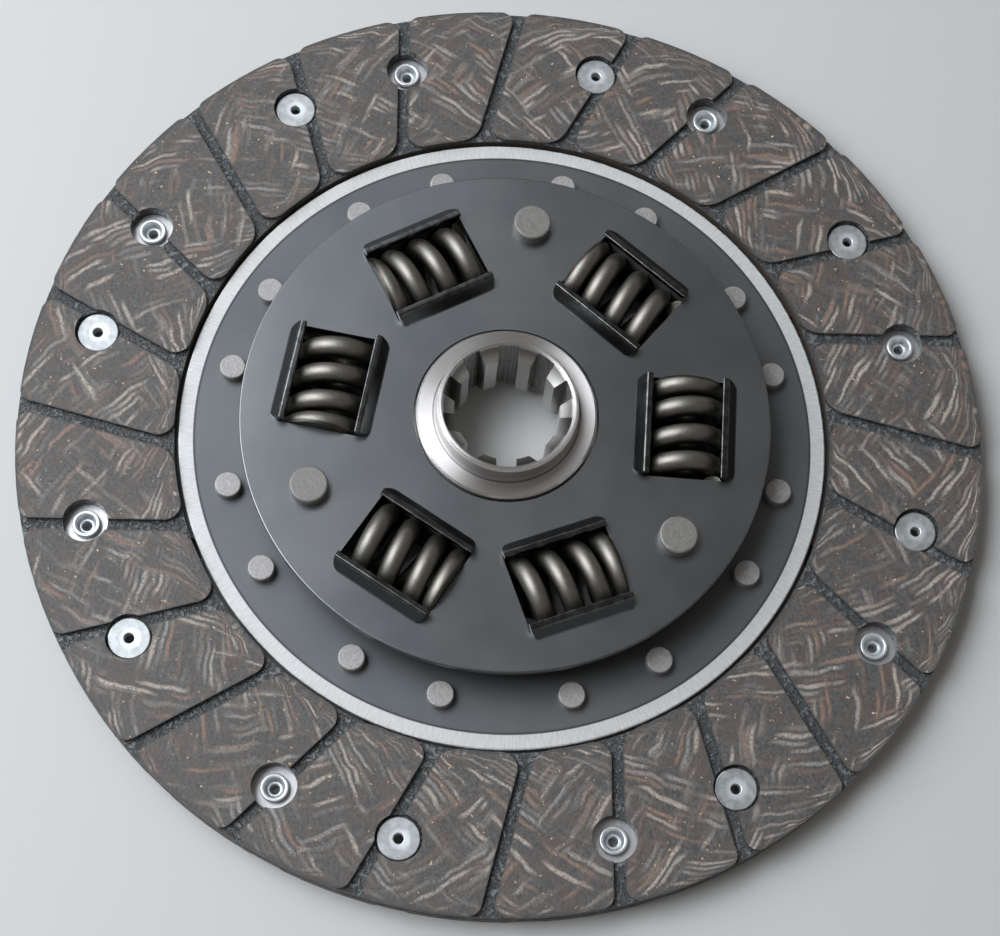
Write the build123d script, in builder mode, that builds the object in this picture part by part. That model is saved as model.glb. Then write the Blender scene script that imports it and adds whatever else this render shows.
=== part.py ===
"""Clutch driven disc: a splined hub, sprung between two plates, carries two riveted friction facings.

Millimetres.  +Z is the disc's axis and points to the retainer side.  The origin is the centre of the
rear facing's rubbing face, which is what the disc lies on.  +Y points at the first stop pin.
"""

import math
import os

from build123d import *

# ---------------------------------------------------------------- driving dimensions
# Friction facings
facing_od = 240.0
facing_id = 163.0
facing_t = 3.5
groove_count = 24
groove_w = 2.8
groove_depth = 1.4
groove_lean = 15.3          # degrees between a groove and the radius it crosses
pad_corner_outer = 3.0
pad_corner_inner_blunt = 6.5
pad_corner_inner_sharp = 4.0

# Cushion segments: spring-steel paddles between the facings, each with a front and a rear petal
segment_count = 8
segment_t = 0.8
cushion_travel = 0.5        # how far the rear petal is set back from the front one
segment_gap = 3.2           # between neighbouring paddles
segment_foot_gap = 6.0      # between neighbouring feet
segment_foot_margin = 5.2   # from the plate rivets in to the edge of the foot
segment_rim_margin = 1.5    # from the paddle's edge out to the facing's rim
petal_slot_w = 5.0
petal_corner = 3.0
petal_root_gap = 0.8        # from the facing's bore out to the petals' roots
foot_overlap = 2.5          # how far the foot laps over the roots of the petals
segment_angle = 97.5        # direction of the first segment

# Facing rivets: semi-tubular, one head and one rolled tail for each petal
facing_rivet_out = 4.05         # beyond the facing's mean radius
facing_rivet_offset = 13.87     # degrees either side of the segment's centre line
rivet_head_d = 10.2
rivet_head_t = 0.9
rivet_shank_d = 4.8
rivet_bore_d = 2.4
rivet_tail_d = 6.9
rivet_tail_foot_d = 6.0         # where the rolled tail bears on the petal
rivet_tail_h = 1.6
rivet_tail_mouth_d = 5.0
rivet_hollow_d = 3.4            # at the bottom of the hollow that lets the tail roll
rivet_hollow_depth = 2.0
rivet_tail_edge = 0.4
rivet_edge = 0.3
rivet_hole_clearance = 0.05     # radial, round every rivet's shank
head_recess_d = 11.2
head_recess_depth = 2.3
tail_recess_d = 10.8

# Rivets that hold the segments to the disc plate
plate_rivet_out = 0.15          # beyond halfway from the hub's flange out to the disc plate's rim
plate_rivet_offset = 13.0       # degrees either side of the segment's centre line
plate_rivet_d = 6.5
plate_rivet_h = 2.7
plate_rivet_shank_d = 4.4
plate_rivet_rear_d = 7.6
plate_rivet_rear_h = 1.5
plate_rivet_edge = 0.4

# Disc plate and retainer plate
disc_plate_clearance = 0.9      # radial, inside the facings
disc_plate_t = 1.5
retainer_rim = 13.5             # beyond the stop pins' centres
retainer_t = 2.0
plate_bore_clearance = 0.6      # radial, round the hub's collar
plate_edge_radius = 0.35

# Spring windows and their pressed lips
window_count = 6
window_pin_offset = 33.5        # degrees from a stop pin to the windows beside it
window_r = 43.85
window_length = 26.0
window_corner = 2.5
lip_overlap = 2.0               # radial, from a spring's side in to the edge of the lip over it
lip_reach = 3.9                 # radial, from a lip's root to its edge
lip_rise = 3.0
lip_t = 1.5
lip_crest = 1.4                 # width of the lip's level crest
lip_shoulder_radius = 0.7
lip_edge_radius = 0.35

# Damper springs
spring_od = 21.2
spring_wire = 5.1
spring_coil_gap = 0.06          # between the closed coils at each end
spring_end_turns = 0.95
spring_main_turns = 2.2
spring_seat_clearance = 0.05    # at each end, in the window
spring_phase = 0.28             # turns from the wire's end to where it first crosses the top
spring_points_per_turn = 12

# Stop pins
pin_count = 3
pin_r = 51.5
pin_body_d = 10.0
pin_tenon_d = 7.2
pin_head_d = 9.4
pin_head_h = 3.2
pin_head_edge = 0.6
wind_up = 6.0                   # degrees the hub turns each way before a pin meets its notch
pin_notch_clearance = 0.15
pin_notch_floor_gap = 1.2       # from a pin's body in to the floor of its notch

# Hub
hub_flange_rim = 6.5            # beyond the stop pins' centres, at least
hub_flange_t = 6.5
hub_window_clearance = 0.6      # radial, on each side of a spring
hub_window_corner = 0.5
hub_window_rim = 1.4            # from the corner of a window out to the flange's rim, at least
collar_width = 4.9              # radial, beyond the boss
collar_proud = 1.1              # beyond the plates' outer faces
boss_wall = 1.325               # over the bottoms of the spline's spaces
boss_front_h = 5.3              # beyond the front collar's face
boss_rear_h = 2.2               # beyond the rear collar's face
boss_chamfer = 0.6
boss_foot_radius = 1.1
collar_chamfer = 0.5
notch_corner = 2.0
spline_teeth = 10
spline_minor_d = 25.8
spline_major_d = 31.75
spline_space_w = 4.9
spline_space_angle = 96.0       # direction of one of the spaces
boss_land = 1.0                 # radial, from the lead-in cone out to the boss's side
spline_mouth_depth = 3.3

# Friction and spring washers
washer_width = 8.4
washer_clearance = 0.5          # radial, round the hub's collar
friction_clearance = 0.05       # between a friction washer and the turning flange
rear_washer_t = 1.6
front_washer_t = 1.0
spring_washer_t = 0.35
spring_washer_rise = 0.6        # its free height, thickness included

# ---------------------------------------------------------------- sizes that follow
facing_mean_r = (facing_od + facing_id) / 4
facing_rivet_r = facing_mean_r + facing_rivet_out
disc_plate_od = facing_id - 2 * disc_plate_clearance
retainer_od = 2 * (pin_r + retainer_rim)
lip_opening = spring_od - 2 * lip_overlap
window_height = lip_opening + 2 * lip_reach
hub_window_height = spring_od + 2 * hub_window_clearance
spring_end_pitch = spring_wire + spring_coil_gap
boss_r = spline_major_d / 2 + boss_wall
collar_r = boss_r + collar_width
hub_window_reach = math.hypot(window_r + hub_window_height / 2, window_length / 2)
flange_r = max(pin_r + hub_flange_rim, hub_window_reach + hub_window_rim)
plate_rivet_r = (flange_r + disc_plate_od / 2) / 2 + plate_rivet_out
bore_r = spline_minor_d / 2
washer_r = collar_r + washer_clearance + washer_width
front_stack = friction_clearance + front_washer_t + spring_washer_rise
plate_spacing = rear_washer_t + friction_clearance + hub_flange_t + front_stack

# ---------------------------------------------------------------- levels along the axis
rear_facing_top = facing_t
cushion_t = segment_t + cushion_travel
front_facing_bottom = rear_facing_top + cushion_t
front_facing_top = front_facing_bottom + facing_t
mid_cushion = rear_facing_top + cushion_t / 2
front_petal_z = front_facing_bottom - segment_t
rear_petal_z = rear_facing_top
disc_plate_bottom = front_facing_bottom
disc_plate_top = disc_plate_bottom + disc_plate_t
retainer_bottom = disc_plate_top + plate_spacing
retainer_top = retainer_bottom + retainer_t
flange_bottom = disc_plate_top + rear_washer_t + friction_clearance
flange_top = flange_bottom + hub_flange_t
spring_axis_z = (flange_bottom + flange_top) / 2
collar_front = retainer_top + collar_proud
collar_rear = disc_plate_bottom - collar_proud
hub_front = collar_front + boss_front_h
hub_rear = collar_rear - boss_rear_h

segment_pitch = 360 / segment_count
pin_pitch = 360 / pin_count
first_pin_angle = 90.0
segment_angles = [segment_angle + segment_pitch * k for k in range(segment_count)]
pin_angles = [first_pin_angle + pin_pitch * k for k in range(pin_count)]
window_angles = [a + side * window_pin_offset for a in pin_angles for side in (-1, 1)]

os.makedirs("parts", exist_ok=True)


def save(part, name):
    """Label a finished piece and write it as its own file."""
    part.label = name
    export_step(part, f"parts/{name}.step")


def polar(radius, angle):
    """The point at a radius and an angle in degrees."""
    return (radius * math.cos(math.radians(angle)), radius * math.sin(math.radians(angle)))


# ---------------------------------------------------------------- friction facings
def groove_location(index):
    """A groove's middle, with local x along the groove."""
    angle = segment_angle + 360 / groove_count * index
    return Location((*polar(facing_mean_r, angle), 0), (0, 0, angle - groove_lean))


with BuildSketch() as sharp_pads:
    Circle(facing_od / 2)
    Circle(facing_id / 2, mode=Mode.SUBTRACT)
    with Locations(*[groove_location(k) for k in range(groove_count)]):
        Rectangle(facing_od - facing_id, groove_w, mode=Mode.SUBTRACT)
sharp_pad = sharp_pads.sketch.faces().sort_by_distance(groove_location(0.5).position)[0]

# The groove leans, so each edge of a pad has one sharp corner and one blunt one.
corners = sharp_pad.vertices().sort_by(lambda v: math.hypot(v.X, v.Y))
inner_corners = corners[:2].sort_by(lambda v: math.atan2(v.Y, v.X) % (2 * math.pi))
pad_corners = [
    (inner_corners[0], pad_corner_inner_blunt),
    (inner_corners[1], pad_corner_inner_sharp),
    (corners[2], pad_corner_outer),
    (corners[3], pad_corner_outer),
]
with BuildSketch() as pad:
    add(sharp_pad)
    for corner, radius in pad_corners:
        fillet(pad.vertices().sort_by_distance(corner)[0], radius=radius)

head_angle = segment_angle - facing_rivet_offset    # the front facing's rivets show their heads here
tail_angle = segment_angle + facing_rivet_offset    # and the rear facing's rivets their tails here

with BuildPart() as front_facing:
    with BuildSketch(Plane.XY.offset(front_facing_bottom)):
        Circle(facing_od / 2)
        Circle(facing_id / 2, mode=Mode.SUBTRACT)
    extrude(amount=facing_t - groove_depth)
    with BuildSketch(Plane.XY.offset(front_facing_top - groove_depth)):
        with PolarLocations(0, groove_count):
            add(pad.sketch)
    extrude(amount=groove_depth)
    with BuildSketch(Plane.XY.offset(front_facing_top)):
        with PolarLocations(facing_rivet_r, segment_count, start_angle=head_angle):
            Circle(head_recess_d / 2)
    extrude(amount=-head_recess_depth, mode=Mode.SUBTRACT)
    with BuildSketch(Plane.XY.offset(front_facing_top)):
        with PolarLocations(facing_rivet_r, segment_count, start_angle=head_angle):
            Circle(rivet_shank_d / 2 + rivet_hole_clearance)
        with PolarLocations(facing_rivet_r, segment_count, start_angle=tail_angle):
            Circle(tail_recess_d / 2)
    extrude(amount=-facing_t, mode=Mode.SUBTRACT)
save(front_facing.part, "front_facing")

# The rear facing is the same piece turned over about the first segment's centre line, which puts its
# heads behind the front facing's clearance holes and its clearance holes behind the front heads.
turn_over = Axis((0, 0, mid_cushion), (*polar(1, segment_angle), 0))
with BuildPart() as rear_facing:
    add(front_facing.part.rotate(turn_over, 180))
save(rear_facing.part, "rear_facing")


# ---------------------------------------------------------------- cushion segments
def segment_wedge(gap):
    """The sector of one segment about +X, held back by half a gap from each neighbour."""
    half = math.radians(segment_pitch / 2)
    apex = gap / 2 / math.sin(half)
    spread = (facing_od - apex) * math.tan(half)
    Polygon((apex, 0), (facing_od, -spread), (facing_od, spread), align=None, mode=Mode.INTERSECT)


segment_rim_r = facing_od / 2 - segment_rim_margin
petal_root_r = facing_id / 2 + petal_root_gap
foot_outer_r = petal_root_r + foot_overlap
foot_inner_r = plate_rivet_r - segment_foot_margin

with BuildPart() as segment:
    with BuildSketch(Plane.XY.offset(front_petal_z)):
        Circle(foot_outer_r)
        Circle(foot_inner_r, mode=Mode.SUBTRACT)
        segment_wedge(segment_foot_gap)
        for side in (-1, 1):
            with Locations(polar(plate_rivet_r, side * plate_rivet_offset)):
                Circle(plate_rivet_shank_d / 2 + rivet_hole_clearance, mode=Mode.SUBTRACT)
    extrude(amount=segment_t)
    for side, level in ((-1, front_petal_z), (1, rear_petal_z)):
        with BuildSketch(Plane.XY.offset(level)) as petal:
            Circle(segment_rim_r)
            Circle(petal_root_r, mode=Mode.SUBTRACT)
            segment_wedge(segment_gap)
            with Locations((facing_od / 2, side * (facing_od + petal_slot_w) / 2)):
                Rectangle(facing_od, facing_od, mode=Mode.INTERSECT)
            tips = petal.vertices().sort_by(lambda v: math.hypot(v.X, v.Y))[-2:]
            fillet(tips, radius=petal_corner)
            with Locations(polar(facing_rivet_r, side * facing_rivet_offset)):
                Circle(rivet_shank_d / 2 + rivet_hole_clearance, mode=Mode.SUBTRACT)
        extrude(amount=segment_t)

for number, angle in enumerate(segment_angles, 1):
    with BuildPart() as cushion_segment:
        with Locations(Location((0, 0, 0), (0, 0, angle))):
            add(segment.part)
    save(cushion_segment.part, f"cushion_segment_{number}")

# ---------------------------------------------------------------- rivets
head_seat = front_facing_top - head_recess_depth
head_top = head_seat + rivet_head_t
tail_seat = front_petal_z
tail_end = tail_seat - rivet_tail_h
hollow_floor = tail_end + rivet_hollow_depth

with BuildPart() as facing_rivet:
    with BuildSketch(Plane.XZ) as outline:
        with BuildLine():
            Polyline(
                (rivet_bore_d / 2, head_top),
                (rivet_head_d / 2, head_top),
                (rivet_head_d / 2, head_seat),
                (rivet_shank_d / 2, head_seat),
                (rivet_shank_d / 2, tail_seat),
                (rivet_tail_foot_d / 2, tail_seat),
                (rivet_tail_d / 2, (tail_seat + tail_end) / 2),
                (rivet_tail_d / 2, tail_end),
                (rivet_tail_mouth_d / 2, tail_end),
                (rivet_hollow_d / 2, hollow_floor),
                (rivet_bore_d / 2, hollow_floor),
                close=True,
            )
        make_face()
        for point, radius in (
            ((rivet_head_d / 2, head_top), rivet_edge),
            ((rivet_bore_d / 2, head_top), rivet_edge),
            ((rivet_bore_d / 2, hollow_floor), rivet_edge),
            ((rivet_tail_d / 2, tail_end), rivet_tail_edge),
            ((rivet_tail_mouth_d / 2, tail_end), rivet_tail_edge),
        ):
            fillet(outline.vertices().sort_by_distance((*point, 0))[0], radius=radius)
    revolve(axis=Axis.Z)

with BuildPart() as front_facing_rivets:
    with PolarLocations(facing_rivet_r, segment_count, start_angle=head_angle):
        add(facing_rivet.part)
save(front_facing_rivets.part, "front_facing_rivets")

with BuildPart() as rear_facing_rivets:
    add(front_facing_rivets.part.rotate(turn_over, 180))
save(rear_facing_rivets.part, "rear_facing_rivets")

with BuildPart() as plate_rivet:
    with BuildSketch(Plane.XY.offset(disc_plate_top)):
        Circle(plate_rivet_d / 2)
    extrude(amount=plate_rivet_h)
    fillet(plate_rivet.edges().group_by(Axis.Z)[-1], radius=plate_rivet_edge)
    with BuildSketch(Plane.XY.offset(front_petal_z)):
        Circle(plate_rivet_shank_d / 2)
    extrude(until=Until.NEXT)
    with BuildSketch(Plane.XY.offset(front_petal_z)):
        Circle(plate_rivet_rear_d / 2)
    extrude(amount=-plate_rivet_rear_h)
    fillet(plate_rivet.edges().group_by(Axis.Z)[0], radius=plate_rivet_edge)

with BuildPart() as segment_rivets:
    for side in (-1, 1):
        start = segment_angle + side * plate_rivet_offset
        with PolarLocations(plate_rivet_r, segment_count, start_angle=start):
            add(plate_rivet.part)
save(segment_rivets.part, "segment_rivets")

# ---------------------------------------------------------------- stop pins
with BuildPart() as pin:
    with BuildSketch(Plane.XY.offset(disc_plate_top)):
        Circle(pin_body_d / 2)
    extrude(amount=plate_spacing)
    with BuildSketch(Plane.XY.offset(disc_plate_bottom)):
        Circle(pin_tenon_d / 2)
    extrude(amount=retainer_top - disc_plate_bottom)
    for face_z, way in ((disc_plate_bottom, -1), (retainer_top, 1)):
        with BuildSketch(Plane.XY.offset(face_z)):
            Circle(pin_head_d / 2)
        extrude(amount=way * pin_head_h)
    rims = pin.edges().filter_by(GeomType.CIRCLE).group_by(Axis.Z)
    fillet(rims[0] + rims[-1], radius=pin_head_edge)

for number, angle in enumerate(pin_angles, 1):
    with BuildPart() as stop_pin:
        with Locations((*polar(pin_r, angle), 0)):
            add(pin.part)
    save(stop_pin.part, f"stop_pin_{number}")


# ---------------------------------------------------------------- plates
def window_location(angle, z, turned_over=False):
    """A window's centre, with local x along the spring and local y radial."""
    turn = (180, 0, 90 - angle) if turned_over else (0, 0, angle - 90)
    return Location((*polar(window_r, angle), z), turn)


def window_lips(sheet_t):
    """The two pressed lips of one window, on a sheet that lies on z = 0, with the sheet cut away there."""
    root = window_height / 2
    edge = lip_opening / 2
    crest = sheet_t + lip_rise
    under = crest - lip_t
    slope = math.atan2(lip_rise, root - edge - lip_crest)
    across = lip_t / math.sin(slope)                # the lip's thickness measured along the sheet
    under_reach = under / math.tan(slope)
    with BuildPart() as lips:
        with BuildSketch(Plane.YZ) as profile:
            with BuildLine():
                Polyline(
                    (root, 0),
                    (root, sheet_t),
                    (edge + lip_crest, crest),
                    (edge, crest),
                    (edge, under),
                    (root - across + sheet_t / math.tan(slope) - under_reach, under),
                    (root - across + sheet_t / math.tan(slope), 0),
                    close=True,
                )
            make_face()
            shoulder = profile.vertices().sort_by_distance((edge + lip_crest, crest))[0]
            fillet(shoulder, radius=lip_shoulder_radius)
            fillet(profile.vertices().sort_by_distance((edge, crest))[0], radius=lip_edge_radius)
            mirror(about=Plane.YZ)
        extrude(amount=window_length / 2, both=True)
        with BuildSketch():
            RectangleRounded(window_length, window_height, window_corner)
        extrude(amount=crest, mode=Mode.INTERSECT)
    return lips.part


def sheet_outline(diameter):
    """A plate's flat pattern: rim, hub bore, spring windows and the holes of the stop pins."""
    Circle(diameter / 2)
    Circle(collar_r + plate_bore_clearance, mode=Mode.SUBTRACT)
    with Locations(*[window_location(angle, 0) for angle in window_angles]):
        RectangleRounded(window_length, window_height, window_corner, mode=Mode.SUBTRACT)
    with PolarLocations(pin_r, pin_count, start_angle=first_pin_angle):
        Circle(pin_tenon_d / 2 + rivet_hole_clearance, mode=Mode.SUBTRACT)


def round_rim(plate, diameter):
    """Soften both edges of a plate's rim."""
    rim = plate.edges().filter_by(GeomType.CIRCLE).filter_by(lambda e: abs(e.radius - diameter / 2) < 0.01)
    fillet(rim, radius=plate_edge_radius)


with BuildPart() as retainer_plate:
    with BuildSketch(Plane.XY.offset(retainer_bottom)):
        sheet_outline(retainer_od)
    extrude(amount=retainer_t)
    round_rim(retainer_plate, retainer_od)
    with Locations(*[window_location(angle, retainer_bottom) for angle in window_angles]):
        add(window_lips(retainer_t))
save(retainer_plate.part, "retainer_plate")

with BuildPart() as disc_plate:
    with BuildSketch(Plane.XY.offset(disc_plate_bottom)):
        sheet_outline(disc_plate_od)
        for side in (-1, 1):
            start = segment_angle + side * plate_rivet_offset
            with PolarLocations(plate_rivet_r, segment_count, start_angle=start):
                Circle(plate_rivet_shank_d / 2 + rivet_hole_clearance, mode=Mode.SUBTRACT)
    extrude(amount=disc_plate_t)
    round_rim(disc_plate, disc_plate_od)
    with Locations(*[window_location(angle, disc_plate_top, True) for angle in window_angles]):
        add(window_lips(disc_plate_t))
save(disc_plate.part, "disc_plate")

# ---------------------------------------------------------------- hub
spline_mouth_r = boss_r - boss_land

with BuildPart() as hub:
    with BuildSketch(Plane.XZ) as half_section:
        with BuildLine():
            Polyline(
                (bore_r, hub_rear),
                (boss_r, hub_rear),
                (boss_r, collar_rear),
                (collar_r, collar_rear),
                (collar_r, flange_bottom),
                (flange_r, flange_bottom),
                (flange_r, flange_top),
                (collar_r, flange_top),
                (collar_r, collar_front),
                (boss_r, collar_front),
                (boss_r, hub_front),
                (bore_r, hub_front),
                close=True,
            )
        make_face()
        for end, face in ((hub_rear, collar_rear), (hub_front, collar_front)):
            chamfer(half_section.vertices().sort_by_distance((boss_r, end, 0))[0], length=boss_chamfer)
            chamfer(half_section.vertices().sort_by_distance((collar_r, face, 0))[0], length=collar_chamfer)
            fillet(half_section.vertices().sort_by_distance((boss_r, face, 0))[0], radius=boss_foot_radius)
    revolve(axis=Axis.Z)

    # Spline: the spaces run right through and end in a lead-in cone at each face.
    with BuildSketch(Plane.XY.offset(hub_rear)):
        with PolarLocations(spline_major_d / 2, spline_teeth, start_angle=spline_space_angle):
            Rectangle(spline_major_d, spline_space_w)
        Circle(spline_major_d / 2, mode=Mode.INTERSECT)
    extrude(amount=hub_front - hub_rear, mode=Mode.SUBTRACT)
    for face_z, way in ((hub_rear, 1), (hub_front, -1)):
        with BuildSketch(Plane.XZ):
            with BuildLine():
                Polyline(
                    (0, face_z),
                    (spline_mouth_r, face_z),
                    (bore_r, face_z + way * spline_mouth_depth),
                    (0, face_z + way * spline_mouth_depth),
                    close=True,
                )
            make_face()
        revolve(axis=Axis.Z, mode=Mode.SUBTRACT)

    # Flange: spring windows, and a notch open to the rim for each stop pin.
    notch_half = pin_r * math.sin(math.radians(wind_up)) + pin_body_d / 2 + pin_notch_clearance
    notch_floor = pin_r - pin_body_d / 2 - pin_notch_floor_gap
    with BuildSketch(Plane.XY.offset(flange_bottom)):
        with Locations(*[window_location(angle, 0) for angle in window_angles]):
            RectangleRounded(window_length, hub_window_height, hub_window_corner)
        with PolarLocations(notch_floor + flange_r, pin_count, start_angle=first_pin_angle):
            RectangleRounded(2 * flange_r, 2 * notch_half, notch_corner)
    extrude(amount=hub_flange_t, mode=Mode.SUBTRACT)
save(hub.part, "hub")


# ---------------------------------------------------------------- friction and spring washers
def washer_ring():
    """The outline the washers share, clear of the hub's collar."""
    Circle(washer_r)
    Circle(collar_r + washer_clearance, mode=Mode.SUBTRACT)


with BuildPart() as rear_friction_washer:
    with BuildSketch(Plane.XY.offset(disc_plate_top)):
        washer_ring()
    extrude(amount=rear_washer_t)
save(rear_friction_washer.part, "rear_friction_washer")

front_washer_bottom = flange_top + friction_clearance
front_washer_top = front_washer_bottom + front_washer_t
with BuildPart() as front_friction_washer:
    with BuildSketch(Plane.XY.offset(front_washer_bottom)):
        washer_ring()
    extrude(amount=front_washer_t)
save(front_friction_washer.part, "front_friction_washer")

with BuildPart() as spring_washer:
    with BuildSketch(Plane.XZ):
        with BuildLine():
            Polyline(
                (collar_r + washer_clearance, front_washer_top),
                (collar_r + washer_clearance, front_washer_top + spring_washer_t),
                (washer_r, retainer_bottom),
                (washer_r, retainer_bottom - spring_washer_t),
                close=True,
            )
        make_face()
    revolve(axis=Axis.Z)
save(spring_washer.part, "spring_washer")

# ---------------------------------------------------------------- damper springs
spring_length = window_length - 2 * spring_seat_clearance
spring_coil_r = (spring_od - spring_wire) / 2
spring_turns = 2 * spring_end_turns + spring_main_turns
spring_end_rise = spring_end_pitch * spring_end_turns
spring_main_pitch = (spring_length - 2 * spring_end_rise) / spring_main_turns


def coil_point(turn):
    """The wire's centre after some turns: close coils at both ends and open ones between."""
    if turn < spring_end_turns:
        rise = spring_end_pitch * turn
    elif turn < spring_turns - spring_end_turns:
        rise = spring_end_rise + spring_main_pitch * (turn - spring_end_turns)
    else:
        rise = spring_length - spring_end_pitch * (spring_turns - turn)
    return (*polar(spring_coil_r, 360 * (turn - spring_phase)), rise)


coil_steps = round(spring_turns * spring_points_per_turn)
with BuildPart() as coil:
    with BuildLine() as wire_path:
        Spline(*[coil_point(spring_turns * step / coil_steps) for step in range(coil_steps + 1)])
    with BuildSketch(Plane(origin=wire_path.line @ 0, z_dir=wire_path.line % 0)):
        Circle(spring_wire / 2)
    sweep(path=wire_path.line, is_frenet=True)
    # Both ends are ground flat, square to the axis.
    with BuildSketch():
        Circle(spring_od)
    extrude(amount=spring_length, mode=Mode.INTERSECT)

for number, angle in enumerate(window_angles, 1):
    along = (*polar(1, angle + 90), 0)
    centre = Vector(*polar(window_r, angle), spring_axis_z)
    seat = centre + Vector(*along) * (spring_length / 2)
    with BuildPart() as damper_spring:
        with Locations(Plane(origin=seat, x_dir=(0, 0, 1), z_dir=-Vector(*along))):
            add(coil.part)
    save(damper_spring.part, f"damper_spring_{number}")
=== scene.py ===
# %% [markdown]
# # A clutch disc, finished and lit
#
# A clutch's driven disc is a splined hub, carried by six coil springs between two steel plates, with a ring
# of friction material riveted to each side of eight springy steel paddles. The construction model already
# holds every rigid piece at its real size. This lesson gives each of those pieces the finish that it has on
# a new disc, winds the six damper springs again as smooth coils that can be squeezed, and sets up a floor,
# soft light and a camera.
#
# Everything is in metres, in the construction model's own frame: +Z is the disc's axis and points up, and
# the disc lies on the floor at Z = 0. Sizes are written in millimetres times `MM`, as on a drawing.

# %% Load the construction model
import math

import bpy
from mathutils import Matrix, Vector


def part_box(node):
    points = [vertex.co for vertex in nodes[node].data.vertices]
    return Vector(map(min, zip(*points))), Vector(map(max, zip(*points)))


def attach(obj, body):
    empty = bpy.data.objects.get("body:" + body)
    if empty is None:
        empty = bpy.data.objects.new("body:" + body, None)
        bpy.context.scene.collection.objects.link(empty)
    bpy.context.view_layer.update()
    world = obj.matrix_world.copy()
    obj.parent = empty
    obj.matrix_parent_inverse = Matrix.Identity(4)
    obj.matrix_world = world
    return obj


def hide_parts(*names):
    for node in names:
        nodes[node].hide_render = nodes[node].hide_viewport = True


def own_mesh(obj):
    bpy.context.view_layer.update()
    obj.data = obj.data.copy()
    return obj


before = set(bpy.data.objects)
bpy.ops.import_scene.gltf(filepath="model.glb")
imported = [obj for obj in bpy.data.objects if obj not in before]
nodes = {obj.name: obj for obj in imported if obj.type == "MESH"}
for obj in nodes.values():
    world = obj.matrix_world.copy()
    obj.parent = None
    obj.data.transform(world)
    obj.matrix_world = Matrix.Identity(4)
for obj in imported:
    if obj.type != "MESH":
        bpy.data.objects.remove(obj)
bpy.context.view_layer.update()
bpy.ops.object.select_all(action="DESELECT")

MM = 0.001

# %% [markdown]
# ## Levels and radii
#
# The patterns on a part follow its shape: the friction strands stop at the facing's edges, the bare rim of
# the disc plate is a ring, and each rivet's turning marks circle that rivet. So the first step is to ask the
# model where its pieces are. A few sizes that a bounding box can't tell are written out as on the drawing.

# %% Read the levels and radii, in millimetres
def node_levels(name):
    """The lowest and highest level of a construction piece, in millimetres."""
    low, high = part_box(name)
    return low.z / MM, high.z / MM


def node_radius(name):
    """The outer radius of a round construction piece, in millimetres."""
    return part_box(name)[1].x / MM


FACING_RADIUS = node_radius("front_facing")
FACING_BORE = 81.5              # the radius of its hole
FACING_MIDDLE = (FACING_RADIUS + FACING_BORE) / 2
FACING_TOP = node_levels("front_facing")[1]
GROOVE_COUNT = 24
GROOVE_WIDTH = 2.8
GROOVE_LEAN = math.radians(15.3)
SEGMENT_COUNT = 8
SEGMENT_ANGLE = math.radians(97.5)              # of the middle of the first segment
FACING_RIVET_RADIUS = 104.8                     # the circle through the rivets' axes
FACING_RIVET_OFFSET = math.radians(13.87)       # of each rivet of a pair from its segment's middle
PLATE_RIVET_RADIUS = 69.45
PLATE_RIVET_OFFSET = math.radians(13.0)
PIN_COUNT = 3
PIN_RADIUS = 51.5
PIN_ANGLE = math.radians(90)
DISC_PLATE_RADIUS = node_radius("disc_plate")
DISC_PLATE_SHEET = (4.8, 6.3)                   # the levels of its two flat faces
RETAINER_THICKNESS = 2.0
RETAINER_BOTTOM = node_levels("spring_washer")[1]

print("facing: radius", round(FACING_RADIUS, 2), "top", round(FACING_TOP, 2))
print("disc plate: radius", round(DISC_PLATE_RADIUS, 2), "retainer plate: bottom", round(RETAINER_BOTTOM, 2))

# %% [markdown]
# ## The camera
#
# The disc is seen from about 69 degrees above the floor with a short telephoto lens, and the camera is
# rolled a little about its own line of sight. The three axes of the camera are worked out one after the
# other, in the order in which a tripod head has them: tilt, roll, and then the turn about the disc's axis.

# %% Place the camera
CAMERA_PLACE = Vector((-2.41, -196.25, 501.1)) * MM
CAMERA_TILT = math.radians(20.58)       # away from straight down, towards -Y
CAMERA_ROLL = math.radians(8.65)
CAMERA_TURN = math.radians(-0.93)       # about the disc's axis
CAMERA_LENS = 76.88                     # millimetres, for a 36 mm sensor
CAMERA_SHIFT = (-0.0011, 0.0036)

camera = bpy.data.objects.new("camera", bpy.data.cameras.new("camera"))
bpy.context.scene.collection.objects.link(camera)
camera.matrix_world = (
    Matrix.Translation(CAMERA_PLACE)
    @ Matrix.Rotation(CAMERA_TURN, 4, "Z")
    @ Matrix.Rotation(CAMERA_TILT, 4, "X")
    @ Matrix.Rotation(CAMERA_ROLL, 4, "Z")
)
camera.data.lens = CAMERA_LENS
camera.data.sensor_width = 36
camera.data.shift_x, camera.data.shift_y = CAMERA_SHIFT
camera.data.clip_start = 10 * MM
camera.data.clip_end = 20
bpy.context.scene.camera = camera
print("camera at", [round(value / MM, 1) for value in camera.location])

# %% [markdown]
# ## Floor and light
#
# Three soft lamps hang at the upper left, as a window and the wall beside it would, and a dim sky fills the
# shadows. Satin metal shows mostly what it mirrors, so the lamps are wide: a small one would put one hard
# spot on the plates, and a wide one lets them fade from light at the left to dark at the right. The second
# lamp, higher up, shortens the shadows in the rivet recesses, and the third keeps the far edge from going
# dark.

# %% Make the floor
def srgb(red, green, blue):
    """A colour written as the eye sees it, 0 to 255, in the linear values that shaders use."""
    def linear(value):
        value /= 255
        return value / 12.92 if value <= 0.04045 else ((value + 0.055) / 1.055) ** 2.4

    return (linear(red), linear(green), linear(blue), 1.0)


FLOOR_WIDTH = 6                 # metres
FLOOR_LEVEL = -0.05 * MM        # a hair below the disc, because two faces in one plane flicker
FLOOR_GREY = srgb(196, 196, 196)

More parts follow.
